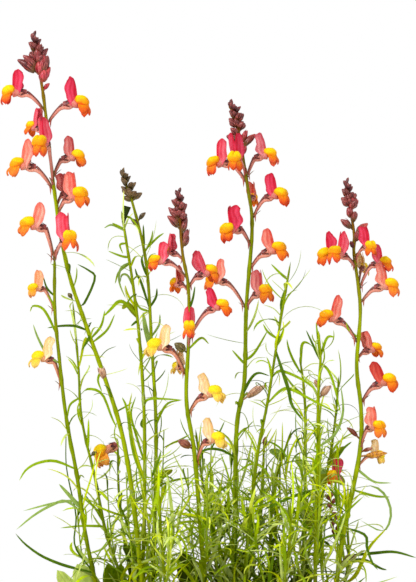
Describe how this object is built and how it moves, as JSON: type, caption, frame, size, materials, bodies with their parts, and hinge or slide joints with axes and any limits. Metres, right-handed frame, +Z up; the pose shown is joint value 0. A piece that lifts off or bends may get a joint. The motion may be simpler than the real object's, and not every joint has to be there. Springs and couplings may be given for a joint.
{
  "type": "potted moroccan toadflax",
  "caption": "Bedding flower in a round clay pot: thin upright stems with thread-like leaves, carrying loose spikes of small spurred two-lipped flowers above the pot.",
  "frame": {"origin": "middle of the pot's flat base, where it rests", "axes": "+Z up along the pot's axis, +X to the right as seen from the front, -Y towards the front"},
  "size_m": [0.1957, 0.15, 0.4133],
  "materials": {
    "clay": "unglazed fired clay, matt, faint throwing lines and pale bloom",
    "soil": "moist crumbly potting soil",
    "green_stem": "living green stem and thread leaf, satin",
    "pink_petal": "soft petal, pink to salmon, with maroon calyx and buds",
    "yellow_lip": "soft petal, bright yellow shading to orange"
  },
  "bodies": {
    "root": {"pot": "clay", "soil": "soil", "leafy_stem_a": "green_stem", "leafy_stem_b": "green_stem", "leafy_stem_b2": "green_stem", "leafy_stem_c": "green_stem", "leafy_stem_d": "green_stem", "leafy_stem_e": "green_stem", "leafy_stem_f": "green_stem", "leafy_stem_g": "green_stem", "leafy_stem_h": "green_stem", "leafy_stem_i": "green_stem", "leafy_stem_j": "green_stem", "leafy_stem_k": "green_stem", "leafy_stem_l": "green_stem", "leafy_stem_p": "green_stem", "leafy_stem_q": "green_stem", "leafy_stem_r": "green_stem", "leafy_stem_s": "green_stem", "leafy_stem_t": "green_stem", "leafy_stem_u": "green_stem", "flower_spike_a": "pink_petal", "flower_spike_b": "pink_petal", "flower_spike_c": "pink_petal", "flower_spike_e": "pink_petal", "flower_spike_f": "pink_petal", "flower_spike_i": "pink_petal", "lower_lip_a1": "yellow_lip", "lower_lip_a3": "yellow_lip", "lower_lip_a4": "yellow_lip", "lower_lip_a5": "yellow_lip", "lower_lip_a7": "yellow_lip", "lower_lip_a8": "yellow_lip", "lower_lip_b1": "yellow_lip", "lower_lip_b3": "yellow_lip", "lower_lip_b4": "yellow_lip", "lower_lip_e1": "yellow_lip", "lower_lip_e2": "yellow_lip", "lower_lip_e3": "yellow_lip", "lower_lip_e5": "yellow_lip", "lower_lip_e6": "yellow_lip", "lower_lip_e8": "yellow_lip", "lower_lip_e9": "yellow_lip", "lower_lip_f1": "yellow_lip", "lower_lip_f2": "yellow_lip", "lower_lip_f3": "yellow_lip", "lower_lip_f4": "yellow_lip", "lower_lip_f5": "yellow_lip", "lower_lip_f7": "yellow_lip", "lower_lip_f8": "yellow_lip", "lower_lip_f9": "yellow_lip", "lower_lip_i10": "yellow_lip", "lower_lip_i11": "yellow_lip", "lower_lip_i2": "yellow_lip", "lower_lip_i3": "yellow_lip", "lower_lip_i4": "yellow_lip", "lower_lip_i5": "yellow_lip", "lower_lip_i6": "yellow_lip", "lower_lip_i8": "yellow_lip", "lower_lip_i9": "yellow_lip"}
  },
  "joints": []
}
